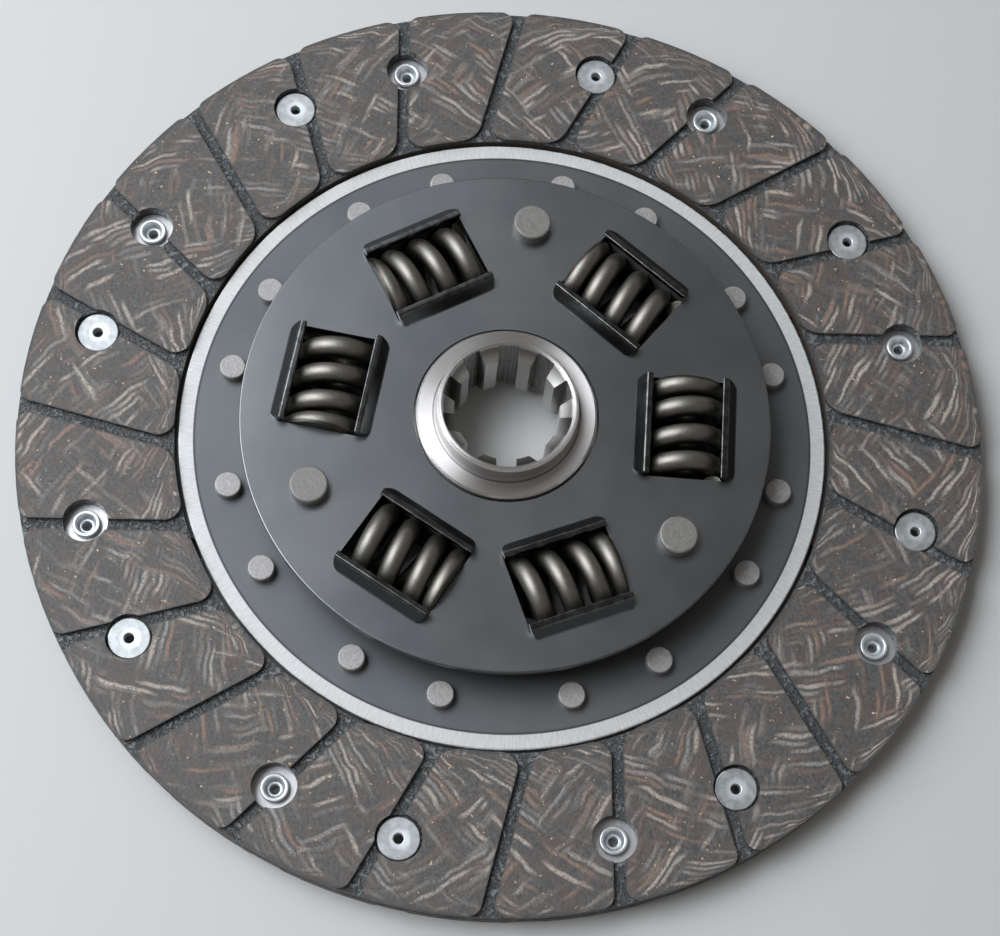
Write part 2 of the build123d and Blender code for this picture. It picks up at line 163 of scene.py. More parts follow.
bpy.ops.mesh.primitive_plane_add(size=FLOOR_WIDTH, location=(0, 0, FLOOR_LEVEL))
floor = bpy.context.object
floor.name = "floor"
floor_paint = bpy.data.materials.new("floor_paint")
floor_paint.use_nodes = True
floor_shader = floor_paint.node_tree.nodes["Principled BSDF"]
floor_shader.inputs["Base Color"].default_value = FLOOR_GREY
floor_shader.inputs["Roughness"].default_value = 0.6
floor.data.materials.append(floor_paint)
bpy.ops.object.select_all(action="DESELECT")
print(floor.name, "is", floor.dimensions.x, "m wide")

# %% Hang the lamps
DAYLIGHT = (0.90, 0.95, 1.0)


def hang_lamp(name, place, size, power):
    """A square area lamp, size metres wide, turned to face the disc."""
    lamp = bpy.data.objects.new(name, bpy.data.lights.new(name, "AREA"))
    lamp.data.shape = "SQUARE"
    lamp.data.size = size
    lamp.data.energy = power
    lamp.data.color = DAYLIGHT
    lamp.location = place
    lamp.rotation_euler = Vector(place).to_track_quat("Z", "Y").to_euler()
    bpy.context.scene.collection.objects.link(lamp)
    print(name, power, "W")


hang_lamp("window_lamp", (-0.80, 0.10, 0.85), 1.1, 11.5)
hang_lamp("high_lamp", (-0.62, -0.02, 0.96), 0.7, 6.2)
hang_lamp("back_lamp", (-0.55, 0.60, 0.85), 0.9, 3.0)
bpy.context.scene.view_settings.view_transform = "Standard"

# %% [markdown]
# ## Sums on a surface
#
# Every finish below is worked out from where a point lies on the part, such as how far it is from the axis,
# or from the nearest rivet. In Blender each plus or minus is a Math node. Building those by hand hides the
# sum among the wires, so `Field` wraps a node's output and lets ordinary arithmetic make the nodes.

# %% Field: a number that varies over a surface
class Field:
    """The output of a shader node, which can be used in sums."""

    def __init__(self, tree, socket):
        self.tree = tree
        self.socket = socket

    def maths(self, operation, *others):
        """A Math node on this field and up to two more fields or numbers."""
        node = self.tree.nodes.new("ShaderNodeMath")
        node.operation = operation
        for socket, value in zip(node.inputs, (self, *others)):
            plug(self.tree, value, socket)
        return Field(self.tree, node.outputs["Value"])

    def __add__(self, other):
        return self.maths("ADD", other)

    def __sub__(self, other):
        return self.maths("SUBTRACT", other)

    def __mul__(self, other):
        return self.maths("MULTIPLY", other)

    def __truediv__(self, other):
        return self.maths("DIVIDE", other)

    def opposite(self):
        """One minus this field: the other side of a mask."""
        return self * -1 + 1

    def ramp(self, low, high):
        """A soft step from 0 at low to 1 at high; low may be the larger, for a falling step."""
        node = self.tree.nodes.new("ShaderNodeMapRange")
        node.interpolation_type = "SMOOTHSTEP"
        plug(self.tree, self, node.inputs["Value"])
        plug(self.tree, low, node.inputs["From Min"])
        plug(self.tree, high, node.inputs["From Max"])
        return Field(self.tree, node.outputs["Result"])

    def near(self, level, far, close):
        """A soft band about a level: 1 where the field is within close of it, 0 where it is beyond far."""
        return (self - level).maths("ABSOLUTE").ramp(far, close)

    def spread(self, low, high):
        """Stretch a field that runs from 0 to 1 so that it runs from low to high."""
        return self * (high - low) + low


print("sums that make nodes:", "+ - * /", "opposite", "ramp", "near", "spread")

# %% Plug a value into a socket
def plug(tree, value, socket):
    """Give a socket a field, a plain socket or a constant."""
    if isinstance(value, Field):
        value = value.socket
    if isinstance(value, bpy.types.NodeSocket):
        tree.links.new(value, socket)
    else:
        socket.default_value = value


print("a socket takes a field, a plain socket or a constant")

# %% [markdown]
# A finish starts from the point being shaded. The object coordinates give it in metres, in the disc's own
# frame, so they are scaled to millimetres and split: into x, y and z where a piece is straight, and into
# radius, angle and height where it is round, which is nearly everywhere on a disc.

# %% Points and polar parts
def new_finish(name):
    """A material with an empty node tree and one Principled shader. Returns material, tree, shader."""
    material = bpy.data.materials.new(name)
    material.use_nodes = True
    tree = material.node_tree
    return material, tree, tree.nodes["Principled BSDF"]


def surface_point(tree):
    """The point being shaded, as a vector in millimetres in the disc's frame."""
    where = tree.nodes.new("ShaderNodeTexCoord")
    scale = tree.nodes.new("ShaderNodeVectorMath")
    scale.operation = "SCALE"
    scale.inputs["Scale"].default_value = 1 / MM
    tree.links.new(where.outputs["Object"], scale.inputs[0])
    return scale.outputs["Vector"]


def parts_of(tree, vector):
    """The x, y and z fields of a vector."""
    split = tree.nodes.new("ShaderNodeSeparateXYZ")
    tree.links.new(vector, split.inputs[0])
    return [Field(tree, socket) for socket in split.outputs]


def vector_of(tree, x, y, z):
    """A vector made of three fields or numbers."""
    join = tree.nodes.new("ShaderNodeCombineXYZ")
    for socket, value in zip(join.inputs, (x, y, z)):
        plug(tree, value, socket)
    return join.outputs["Vector"]


def polar_parts(tree, vector):
    """The radius, the angle in radians, and the height of a point."""
    x, y, z = parts_of(tree, vector)
    radius = (x * x + y * y).maths("SQRT")
    return radius, y.maths("ARCTAN2", x), z


def around_copies(radius, angle, count, start):
    """Local x and y about the nearest of count copies set evenly round the axis, the first at start."""
    half = math.pi / count
    folded = (angle - start).maths("WRAP", half, -half)
    return radius * folded.maths("COSINE"), radius * folded.maths("SINE")


print("a point in millimetres, its x, y, z, and its radius, angle, height")

# %% [markdown]
# Three kinds of node do the rest: a noise for clouds, blotches and grain, a white noise that throws dice for
# whole cells, and a colour mix. The height of a bump is given as the real depth of the mark, in millimetres.

# %% Clouds, dice, mixed colours and relief
def cloud(tree, vector, size, detail=2.0, roughness=0.5):
    """A soft random field from 0 to 1 whose blotches are about size millimetres across."""
    node = tree.nodes.new("ShaderNodeTexNoise")
    tree.links.new(vector, node.inputs["Vector"])
    node.inputs["Scale"].default_value = 1 / size
    node.inputs["Detail"].default_value = detail
    node.inputs["Roughness"].default_value = roughness
    return Field(tree, node.outputs[0])


def dice(tree, x, y, z):
    """Three unrelated random fields, the same all over one cell of whole numbers x, y, z."""
    node = tree.nodes.new("ShaderNodeTexWhiteNoise")
    tree.links.new(vector_of(tree, x, y, z), node.inputs["Vector"])
    return parts_of(tree, node.outputs["Color"])


def mixed(tree, share, first, second):
    """A colour between first (share 0) and second (share 1)."""
    node = tree.nodes.new("ShaderNodeMix")
    node.data_type = "RGBA"
    plug(tree, share, node.inputs[0])
    plug(tree, first, node.inputs[6])
    plug(tree, second, node.inputs[7])
    return node.outputs[2]


def relief(tree, shader, height, depth):
    """Shade a surface as if height, from 0 to 1, stood depth millimetres proud of it."""
    node = tree.nodes.new("ShaderNodeBump")
    node.inputs["Distance"].default_value = depth * MM
    plug(tree, height, node.inputs["Height"])
    tree.links.new(node.outputs["Normal"], shader.inputs["Normal"])


def dress(material, slot, *names):
    """Put a finish on construction pieces, in place of the plain one they came with."""
    for name in names:
        nodes[name].data.materials.clear()
        nodes[name].data.materials.append(material)
    print(f"{material.name} on {len(names)} piece(s), slot {slot}")


print("clouds, dice, mixed colours and relief")

# %% [markdown]
# ## The backdrop
#
# In a studio the floor curves up behind the work, and that backdrop has its own light. Here the floor turns
# into a pale backdrop from half a metre away, and the sky above it has the same tone. Only the camera, glass
# and polished metal see that: the light that falls on the disc comes from the lamps and a much dimmer sky.

# %% Tell apart the rays that see the backdrop
BACKDROP = srgb(190, 192, 195)
DIM_SKY = (0.18, 0.173, 0.162, 1.0)

world = bpy.data.worlds.new("pale_sky")
world.use_nodes = True
bpy.context.scene.world = world


def path_masks(tree):
    """Two masks: the rays that show the background itself, and those that a polished surface sends on."""
    path = tree.nodes.new("ShaderNodeLightPath")
    camera_ray, transmission_ray, glossy_ray = [
        Field(tree, path.outputs[f"Is {kind} Ray"]) for kind in ("Camera", "Transmission", "Glossy")
    ]
    return camera_ray.maths("MAXIMUM", transmission_ray), glossy_ray


print("the sky is", world.name)

# %% Let the floor run into the sky
BACKDROP_STARTS = 450           # millimetres from the disc's axis
BACKDROP_FULL = 1000


def light_backdrop():
    """Far from the disc the floor shows the backdrop's own tone."""
    tree = floor_paint.node_tree
    from_middle, _, _ = polar_parts(tree, surface_point(tree))
    direct, mirrored = path_masks(tree)
    glow = tree.nodes.new("ShaderNodeEmission")
    glow.inputs["Color"].default_value = BACKDROP
    blend = tree.nodes.new("ShaderNodeMixShader")
    far = from_middle.ramp(BACKDROP_STARTS, BACKDROP_FULL)
    plug(tree, far * direct.maths("MAXIMUM", mirrored), blend.inputs["Fac"])
    tree.links.new(floor_shader.outputs["BSDF"], blend.inputs[1])
    tree.links.new(glow.outputs["Emission"], blend.inputs[2])
    tree.links.new(blend.outputs["Shader"], tree.nodes["Material Output"].inputs["Surface"])


def light_sky():
    """The sky shows the backdrop's tone: all of it to the camera, its lowest part to polished metal."""
    tree = world.node_tree
    where = tree.nodes.new("ShaderNodeTexCoord")
    _, _, rise = parts_of(tree, where.outputs["Generated"])
    direct, mirrored = path_masks(tree)
    pale = direct.maths("MAXIMUM", mirrored * rise.ramp(0.30, 0.02))
    tree.links.new(mixed(tree, pale, DIM_SKY, BACKDROP), tree.nodes["Background"].inputs["Color"])


light_backdrop()
light_sky()
print("backdrop behind", floor.name, "and in", world.name)

# %% [markdown]
# ## Friction facings
#
# A facing is wound, not cut: yarn with fine brass wire in it is soaked in resin, laid in waves between the
# ring's inner and outer edge, pressed and ground flat. The grinding leaves short lengths of each strand
# showing. A wave runs at about 45 degrees in the middle of the ring and turns along it at both edges.
#
# A picture of random scratches would miss that. Instead the wave is written down: along one strand, the
# angle round the ring less the arcsine of the radius stays the same. That gives each strand a number, and
# the place along it a second number, so a dash of yarn is one cell of that grid. Two such families, leaning
# opposite ways, cross each other.

# %% The yarn's families
YARN_WAVES = 5              # waves of yarn in one turn of the ring
YARN_STRANDS = 50           # strands side by side in one wave
YARN_REACH = 1.6            # dashes of yarn from one edge of the ring to the other, over pi
YARN_OVERRUN = 0.8          # millimetres that a wave would run past the ring's edges
YARN_SHUFFLE = 7            # dashes by which a strand may be shifted along itself


def yarn_dashes(tree, point, lean, seed, width, share):
    """The mask of one family of dashes, and two random fields that are the same all over each dash."""
    radius, angle, _ = polar_parts(tree, point)
    half_ring = (FACING_RADIUS - FACING_BORE) / 2 + YARN_OVERRUN
    across = ((radius - FACING_MIDDLE) / half_ring).maths("MINIMUM", 1).maths("MAXIMUM", -1)
    wave = across.maths("ARCSINE")

    # The strands are counted round the ring, and each family starts at a place of its own.
    strand = (angle * YARN_WAVES - wave * lean) * (YARN_STRANDS / math.tau) + seed * 0.37
    number = strand.maths("FLOOR").maths("WRAP", YARN_STRANDS * YARN_WAVES, 0)

    # Dice shift the dashes of each strand, so that they don't line up with its neighbours'.
    shuffle, _, _ = dice(tree, number, seed, 0.5)
    along = wave * YARN_REACH + shuffle * YARN_SHUFFLE
    chance, tint, stretch = dice(tree, number, along.maths("FLOOR"), seed)

    # A dash fades out to both sides and towards its ends, and only a share of the cells holds one.
    body = strand.maths("FRACT").near(0.5, width, width * 0.2)
    off_middle = (along.maths("FRACT") - 0.5).maths("ABSOLUTE")
    ends = (off_middle - stretch * 0.28).ramp(0.26, 0.08)
    present = chance.ramp(1 - share, 1 - share + 0.02)
    return body * ends * present, chance, tint


print("yarn:", YARN_WAVES * YARN_STRANDS, "strands in one turn of each family")

# %% [markdown]
# The strands aren't ruled lines, so the point that they are worked out from is first pushed about by half a
# millimetre or so. Worn-down strands lie dull under the resin, and the others stand out tan, grey or copper.
# A slow cloud lets one family or the other show, as where one layer of yarn has been ground through.

# %% Let the strands wander
YARN_SWAY = (3.2, 3.2, 0)       # millimetres, of a noise that seldom leaves its middle
YARN_SWAY_SCALE = 0.14          # one bend in about 7 millimetres


def swayed(tree, point):
    """The point, moved a little to and fro in the plane of the ring."""
    sway = tree.nodes.new("ShaderNodeTexNoise")
    sway.inputs["Scale"].default_value = YARN_SWAY_SCALE
    sway.inputs["Detail"].default_value = 1.5
    tree.links.new(point, sway.inputs["Vector"])
    bent = tree.nodes.new("ShaderNodeVectorMath")
    bent.operation = "MULTIPLY_ADD"
    tree.links.new(sway.outputs["Color"], bent.inputs[0])
    bent.inputs[1].default_value = YARN_SWAY
    tree.links.new(point, bent.inputs[2])
    return bent.outputs["Vector"]


print("the strands bend once in about", round(1 / YARN_SWAY_SCALE), "mm")

# %% Resin and yarn
RESIN_DARK = srgb(56, 54, 53)
RESIN_LIGHT = srgb(95, 92, 90)
RESIN_RED = srgb(88, 76, 70)
YARN_TAN = srgb(184, 172, 160)
YARN_GREY = srgb(148, 144, 141)
YARN_COPPER = srgb(142, 113, 97)
FLECK = srgb(220, 186, 154)
YARN_FAMILIES = (               # lean, seed, width, share of the cells filled, strength
    (1, 3.0, 0.50, 0.54, 0.35),
    (-1, 5.0, 0.50, 0.54, 0.35),
    (1, 11.0, 0.42, 0.47, 1.0),
    (-1, 17.0, 0.42, 0.47, 1.0),
)


def ground_face(tree, point, fine):
    """The ground face of the ring. Returns its colour and the field of where yarn shows."""
    wandering = swayed(tree, point)
    left_patch = cloud(tree, point, 13, detail=1.0).ramp(0.42, 0.55)
    grain = cloud(tree, point, 0.6, detail=3, roughness=0.8).ramp(0.26, 0.58)
    colour = mixed(tree, fine, RESIN_DARK, RESIN_LIGHT)
    reddened = cloud(tree, point, 3.5, detail=3, roughness=0.6).ramp(0.45, 0.68) * 0.8
    colour = mixed(tree, reddened, colour, RESIN_RED)
    yarn = None
    for lean, seed, width, share, strength in YARN_FAMILIES:
        dash, chance, tint = yarn_dashes(tree, wandering, lean, seed, width, share)
        here = left_patch if lean > 0 else left_patch.opposite()
        dash = dash * (here * 0.94 + 0.06) * grain
        shade = mixed(tree, tint.ramp(0.25, 0.55), YARN_TAN, YARN_GREY)
        shade = mixed(tree, tint.ramp(0.60, 0.72), shade, YARN_COPPER)
        colour = mixed(tree, dash * chance.spread(0.4, 1.0) * strength, colour, shade)
        yarn = dash if yarn is None else yarn.maths("MAXIMUM", dash)
    fleck = cloud(tree, point, 1.0, detail=2, roughness=0.6).ramp(0.69, 0.74)
    return mixed(tree, fleck * 0.9, colour, FLECK), yarn


print(len(YARN_FAMILIES), "families of dashes, two of them worn down")

# %% [markdown]
# The grooves and the rivet recesses are real hollows in the construction model, but their floors were never
# ground: they stay dark, with pale crumbs of dust. The rim and the bore were turned, which shows the pressed
# layers edge on. All three are told apart by level and radius, so one finish can cover the whole ring.

# %% The facing's finish
GROOVE_DARK = srgb(62, 62, 62)
GROOVE_CRUMB = srgb(104, 107, 110)
LAYER_DARK = srgb(52, 46, 42)
LAYER_LIGHT = srgb(92, 82, 72)


def friction_finish():
    material, tree, shader = new_finish("friction_composite")
    point = surface_point(tree)
    radius, angle, height = polar_parts(tree, point)
    fine = cloud(tree, point, 0.8, detail=4, roughness=0.75).ramp(0.25, 0.75)
    colour, yarn = ground_face(tree, point, fine)

    # The edge of each pad is darkened as painted shade: beside the grooves and at both edges of the ring.
    local_x, local_y = around_copies(radius, angle, GROOVE_COUNT, SEGMENT_ANGLE)
    off_groove = (local_x - FACING_MIDDLE) * math.sin(GROOVE_LEAN) + local_y * math.cos(GROOVE_LEAN)
    from_groove = off_groove.maths("ABSOLUTE") - GROOVE_WIDTH / 2
    from_rim = radius * -1 + FACING_RADIUS
    from_end = from_rim.maths("MINIMUM", radius - FACING_BORE)
    pad_edge_shade = from_groove.maths("MINIMUM", from_end * 0.45)
    colour = mixed(tree, pad_edge_shade.ramp(0.55, 0.1) * 0.75, colour, GROOVE_DARK)

    # Below the rubbing face, on either side of the stack's middle, lie the unground floors.
    half_stack = FACING_TOP / 2
    below = height.near(half_stack, half_stack - 0.1, half_stack - 0.3)
    wall = from_end.ramp(0.06, 0.02)
    floor_share = below * wall.opposite()
    crumbs = cloud(tree, point, 1.3, detail=3, roughness=0.7).ramp(0.44, 0.60)
    colour = mixed(tree, floor_share, colour, mixed(tree, crumbs, GROOVE_DARK, GROOVE_CRUMB))

    # The turned rim and bore show the layers, drawn out round the ring.
    layers = cloud(tree, vector_of(tree, angle * 9, height * 3, 0), 1.0, detail=3, roughness=0.6)
    colour = mixed(tree, wall * below, colour, mixed(tree, layers, LAYER_DARK, LAYER_LIGHT))

    tree.links.new(colour, shader.inputs["Base Color"])
    plug(tree, yarn * -0.10 + fine * 0.14 + 0.42 - floor_share * 0.20, shader.inputs["Roughness"])
    relief(tree, shader, fine * 0.35 + yarn * 0.3 + crumbs * floor_share * 1.6, 0.2)
    return material


dress(friction_finish(), "friction_material", "front_facing", "rear_facing")

# %% [markdown]
# ## Plates
#
# Both plates are pressed from steel sheet and blackened, which leaves an even, slightly blue, satin grey. The
# lips round the windows are darker and glossier, because the tool burnished them, and their cut ends are
# lightened here and there, partly rubbed bright and partly a painted highlight. The disc plate's rim was
# ground after the blackening, which leaves a bright ring with fine marks across it and a dark line at its
# inner edge.
#
# One finish serves both: it is a metal whose colour and gloss follow the height above the sheet, and a ring
# of bare steel is added by radius on the plate that has it.

# %% Blackened sheet, with a bare rim where there is one
BLACKENED = (0.124, 0.131, 0.138, 1.0)
BLACKENED_PALE = (0.148, 0.154, 0.160, 1.0)
BLUISH = (0.170, 0.181, 0.193, 1.0)
BLUISH_PALE = (0.201, 0.209, 0.218, 1.0)
BLACKENED_LIP = (0.055, 0.057, 0.058, 1.0)
BURNISHED_GLINT = (0.13, 0.134, 0.136, 1.0)
RIM_LINE = (0.02, 0.02, 0.022, 1.0)
RIM_DULL = (0.40, 0.40, 0.40, 1.0)
RIM_BRIGHT = (0.78, 0.78, 0.78, 1.0)
BARE_RIM_WIDTH = 3.6


def plate_finish(name, sheet, lip_end, colours, gloss_low, rim_radius=None):
    """Blackened steel. The lips are what lies outside the levels of the flat sheet, up to lip_end."""
    material, tree, shader = new_finish(name)
    shader.inputs["Metallic"].default_value = 1.0
    point = surface_point(tree)
    radius, angle, height = polar_parts(tree, point)
    blotch = cloud(tree, point, 26, detail=3, roughness=0.6)
    marks = cloud(tree, point, 0.6, detail=3, roughness=0.7)
    above = (height - sheet[1]).ramp(0.1, 0.5)
    lip = above.maths("MAXIMUM", (height - sheet[0]).ramp(-0.1, -0.5))
    rubbed_sheen = cloud(tree, point, 2.5, detail=3, roughness=0.7).ramp(0.40, 0.62)
    # The cut ends of the lips are lightened in patches, partly rubbed bright and partly a painted highlight.
    worn_glint = height.near(lip_end, 0.9, 0.1) * rubbed_sheen.spread(0.15, 1.0)
    colour = mixed(tree, lip, mixed(tree, blotch.ramp(0.3, 0.7), *colours), BLACKENED_LIP)
    colour = mixed(tree, worn_glint, colour, BURNISHED_GLINT)
    gloss = blotch.spread(gloss_low, gloss_low + 0.07) - lip * 0.14
    if rim_radius:
        inner_edge = rim_radius - BARE_RIM_WIDTH
        bare = (radius - inner_edge).ramp(-0.15, 0.1)
        line = radius.near(inner_edge - 0.3, 0.45, 0.1)
        around = vector_of(tree, angle * rim_radius, radius * 0.12, 0)
        brushed = cloud(tree, around, 0.45, detail=3, roughness=0.7)
        colour = mixed(tree, line * 0.5, colour, RIM_LINE)
        colour = mixed(tree, bare, colour, mixed(tree, brushed, RIM_DULL, RIM_BRIGHT))
        marks = marks + bare * brushed * 2
        gloss = gloss + bare * 0.06
        plug(tree, bare * -0.55 + 1.0, shader.inputs["Metallic"])
    tree.links.new(colour, shader.inputs["Base Color"])
    plug(tree, gloss, shader.inputs["Roughness"])
    relief(tree, shader, marks, 0.01)
    return material


print("blackened sheet; a bare rim is", BARE_RIM_WIDTH, "mm wide")

# %% Dress the two plates
retainer_steel = plate_finish(
    "blackened_retainer",
    sheet=(RETAINER_BOTTOM, RETAINER_BOTTOM + RETAINER_THICKNESS),
    lip_end=node_levels("retainer_plate")[1],
    colours=(BLUISH, BLUISH_PALE),
    gloss_low=0.28,
)
disc_plate_steel = plate_finish(
    "blackened_disc_plate",
    sheet=DISC_PLATE_SHEET,
    lip_end=node_levels("disc_plate")[0],
    colours=(BLACKENED, BLACKENED_PALE),
    gloss_low=0.49,
    rim_radius=DISC_PLATE_RADIUS,
)
dress(retainer_steel, "plate_steel", "retainer_plate")
dress(disc_plate_steel, "plate_steel", "disc_plate")

# %% [markdown]
# ## Rivets and stop pins
#
# The facing rivets are zinc plated: pale, a little blue, and soft in their shine. The middle of each head,
# where the tool pressed it, has a bright halo of painted highlight, and the roll round each tail has a
# painted highlight too. The plate rivets and the stop pins are plain steel, spun over by a riveting tool,
# which leaves rings about the middle of each head.
#
# All rivets of a kind are one piece with one finish, so the rings can't be centred by the object. The angle
# round the disc is folded instead, until all the rivets lie on top of each other, and the rings are drawn
# about that one place.

# %% Find the nearest rivet
def rivet_distance(tree, point, count, start, ring_radius, offset):
    """Distance in millimetres from the axis of the nearest rivet of a ring of mirrored pairs."""
    radius, angle, _ = polar_parts(tree, point)
    local_x, local_y = around_copies(radius, angle, count, start)
    across = local_x - ring_radius * math.cos(offset)
    along = local_y.maths("ABSOLUTE") - ring_radius * math.sin(offset)
    return (across * across + along * along).maths("SQRT")


FACING_RIVETS = (SEGMENT_COUNT, SEGMENT_ANGLE, FACING_RIVET_RADIUS, FACING_RIVET_OFFSET)
PLATE_RIVETS = (SEGMENT_COUNT, SEGMENT_ANGLE, PLATE_RIVET_RADIUS, PLATE_RIVET_OFFSET)
STOP_PINS = (PIN_COUNT, PIN_ANGLE, PIN_RADIUS, 0)
print("pairs of facing rivets", SEGMENT_COUNT, "pairs of plate rivets", SEGMENT_COUNT, "pins", PIN_COUNT)

# %% Zinc plate
ZINC_DULL = (0.37, 0.385, 0.395, 1.0)
ZINC_PALE = (0.52, 0.545, 0.555, 1.0)
ZINC_HALO_HIGHLIGHT = (0.66, 0.70, 0.72, 1.0)
ZINC_ROLL_HIGHLIGHT = (0.74, 0.77, 0.79, 1.0)
HALO_FADES = (3.1, 1.7)         # millimetres from a rivet's axis: none of it, and all of it
ROLL_FADES = (1.9, 2.5)


def zinc_finish(name, side):
    """Zinc plate. The heads are above the middle of the stack for side 1, below it for side -1."""
    material, tree, shader = new_finish(name)
    point = surface_point(tree)
    _, _, height = parts_of(tree, point)
    cloudy = cloud(tree, point, 1.6, detail=3, roughness=0.65)
    from_axis = rivet_distance(tree, point, *FACING_RIVETS)
    rings = cloud(tree, vector_of(tree, from_axis, 0, 0), 0.35, detail=2)
    head = ((height - FACING_TOP / 2) * side).ramp(-0.2, 0.2)
    # The halo round the middle of each head and the roll of each tail are painted highlights.
    halo_highlight = from_axis.ramp(*HALO_FADES) * head
    roll_highlight = from_axis.ramp(*ROLL_FADES) * head.opposite()
    colour = mixed(tree, cloudy.ramp(0.3, 0.7), ZINC_DULL, ZINC_PALE)
    colour = mixed(tree, halo_highlight, colour, ZINC_HALO_HIGHLIGHT)
    tree.links.new(mixed(tree, roll_highlight, colour, ZINC_ROLL_HIGHLIGHT), shader.inputs["Base Color"])
    shader.inputs["Metallic"].default_value = 0.68
    plug(tree, cloudy.spread(0.35, 0.50) - roll_highlight * 0.10, shader.inputs["Roughness"])
    relief(tree, shader, rings * 0.2 + cloudy * 0.3 - halo_highlight, 0.05)
    return material


dress(zinc_finish("zinc_plate_front", 1), "zinc_rivet", "front_facing_rivets")
dress(zinc_finish("zinc_plate_rear", -1), "zinc_rivet", "rear_facing_rivets")

# %% Spun steel
RIVET_DULL = (0.20, 0.191, 0.188, 1.0)
RIVET_PALE = (0.50, 0.482, 0.475, 1.0)
PIN_DULL = (0.145, 0.138, 0.130, 1.0)
PIN_PALE = (0.275, 0.263, 0.250, 1.0)


def spun_finish(name, layout, dull, pale, metallic):
    """Steel with rings about the middle of each head of a layout, and a small dimple."""
    material, tree, shader = new_finish(name)
    point = surface_point(tree)
    from_axis = rivet_distance(tree, point, *layout)
    rings = cloud(tree, vector_of(tree, from_axis, 0, 0), 0.5, detail=3, roughness=0.6)
    speckle = cloud(tree, point, 0.7, detail=3, roughness=0.75).ramp(0.25, 0.75)
    dimple = from_axis.ramp(1.2, 0.2)
    tree.links.new(mixed(tree, rings * 0.5 + speckle * 0.5, dull, pale), shader.inputs["Base Color"])
    shader.inputs["Metallic"].default_value = metallic
    plug(tree, speckle.spread(0.40, 0.60), shader.inputs["Roughness"])
    relief(tree, shader, rings * 0.8 + speckle - dimple, 0.03)
    return material


pin_names = [f"stop_pin_{number + 1}" for number in range(PIN_COUNT)]
dress(spun_finish("spun_steel", PLATE_RIVETS, RIVET_DULL, RIVET_PALE, 0.4), "steel_rivet", "segment_rivets")
dress(spun_finish("pin_steel", STOP_PINS, PIN_DULL, PIN_PALE, 0.45), "pin_steel", *pin_names)

# %% [markdown]
# ## Cushion segments, washers and spring washer
#
# These lie inside the disc and show only at the rivets, at the rim and through the windows. The paddles are
# bright rolled spring steel with its rolling marks, darkened at their feet as painted shade in the narrow gap
# there. The friction washers are a dark composite like the facings, and the spring washer is blued steel.

# %% Rolled steel, friction washers, blued steel
GAP_SHADE_GREY = (0.05, 0.05, 0.052, 1.0)
PADDLE_STEEL = ((0.50, 0.495, 0.51, 1.0), (0.72, 0.715, 0.735, 1.0))
BLUED_STEEL = ((0.07, 0.08, 0.11, 1.0), (0.13, 0.14, 0.17, 1.0))
WASHER_DARK = srgb(38, 34, 32)
WASHER_LIGHT = srgb(82, 72, 62)
PADDLE_FOOT_RADIUS = 88         # the paddles are dark within it


def rolled_finish(name, colours, roughness, shade_within=0):
    """Rolled steel, darkened within a radius as painted shade."""
    material, tree, shader = new_finish(name)
    point = surface_point(tree)
    x, y, z = parts_of(tree, point)
    radius, _, _ = polar_parts(tree, point)
    rolled = cloud(tree, vector_of(tree, x, y * 0.08, z), 0.5, detail=3, roughness=0.7)
    # Within the given radius the steel is darkened as painted shade, for the narrow gap at the paddles' feet.
    dark = radius.ramp(shade_within + 1, shade_within - 1)
    tree.links.new(mixed(tree, dark, mixed(tree, rolled, *colours), GAP_SHADE_GREY), shader.inputs["Base Color"])
    shader.inputs["Metallic"].default_value = 1.0
    plug(tree, rolled.spread(roughness, roughness + 0.12), shader.inputs["Roughness"])
    relief(tree, shader, rolled, 0.008)
    return material


def washer_finish():
    material, tree, shader = new_finish("washer_composite")
    point = surface_point(tree)
    grain = cloud(tree, point, 1.1, detail=4, roughness=0.7)
    tree.links.new(mixed(tree, grain, WASHER_DARK, WASHER_LIGHT), shader.inputs["Base Color"])
    shader.inputs["Roughness"].default_value = 0.75
    relief(tree, shader, grain, 0.05)
    return material


cushion_names = [f"cushion_segment_{number + 1}" for number in range(SEGMENT_COUNT)]
paddle_steel = rolled_finish("rolled_steel", PADDLE_STEEL, 0.38, shade_within=PADDLE_FOOT_RADIUS)
dress(paddle_steel, "cushion_steel", *cushion_names)
dress(rolled_finish("blued_steel", BLUED_STEEL, 0.28), "spring_steel", "spring_washer")
dress(washer_finish(), "friction_ring", "rear_friction_washer", "front_friction_washer")

# %% [markdown]
# ## Hub
#
# The hub is turned, and then its splines are broached, so its end faces carry rings about the axis and its
# teeth carry marks along it. Turned rings are far finer than a picture's pixels. What the eye sees is their
# effect: the highlight is drawn out across the rings. The shader's anisotropy does that, with a tangent that
# runs round the axis, and a faint relief adds the marks that can be seen close up.

# %% Where things are on the hub
HUB_REAR, HUB_FRONT = node_levels("hub")
SPLINE_TIP_RADIUS = 12.9
SPLINE_ROOT_RADIUS = 15.9
BOSS_RADIUS = 17.2
COLLAR_RADIUS = 22.1
FLANGE_STARTS = 23.0


def hub_places(radius, height):
    """Masks of the spline, the boss's two end faces, the corners that get a painted highlight, and the
    flange.
    """
    inside = radius.ramp(SPLINE_ROOT_RADIUS + 0.05, SPLINE_ROOT_RADIUS - 0.05)
    front_end = (height - HUB_FRONT).ramp(-0.75, -0.55)
    end = front_end.maths("MAXIMUM", (height - HUB_REAR).ramp(0.75, 0.55))
    boss_glint = radius.near(BOSS_RADIUS - 0.3, 0.4, 0.25) * end
    corner_glint = radius.near(COLLAR_RADIUS, 0.65, 0.45).maths("MAXIMUM", boss_glint)
    return inside, end, corner_glint, radius.ramp(FLANGE_STARTS, FLANGE_STARTS + 1)


print("hub from", round(HUB_REAR, 2), "to", round(HUB_FRONT, 2), "mm")

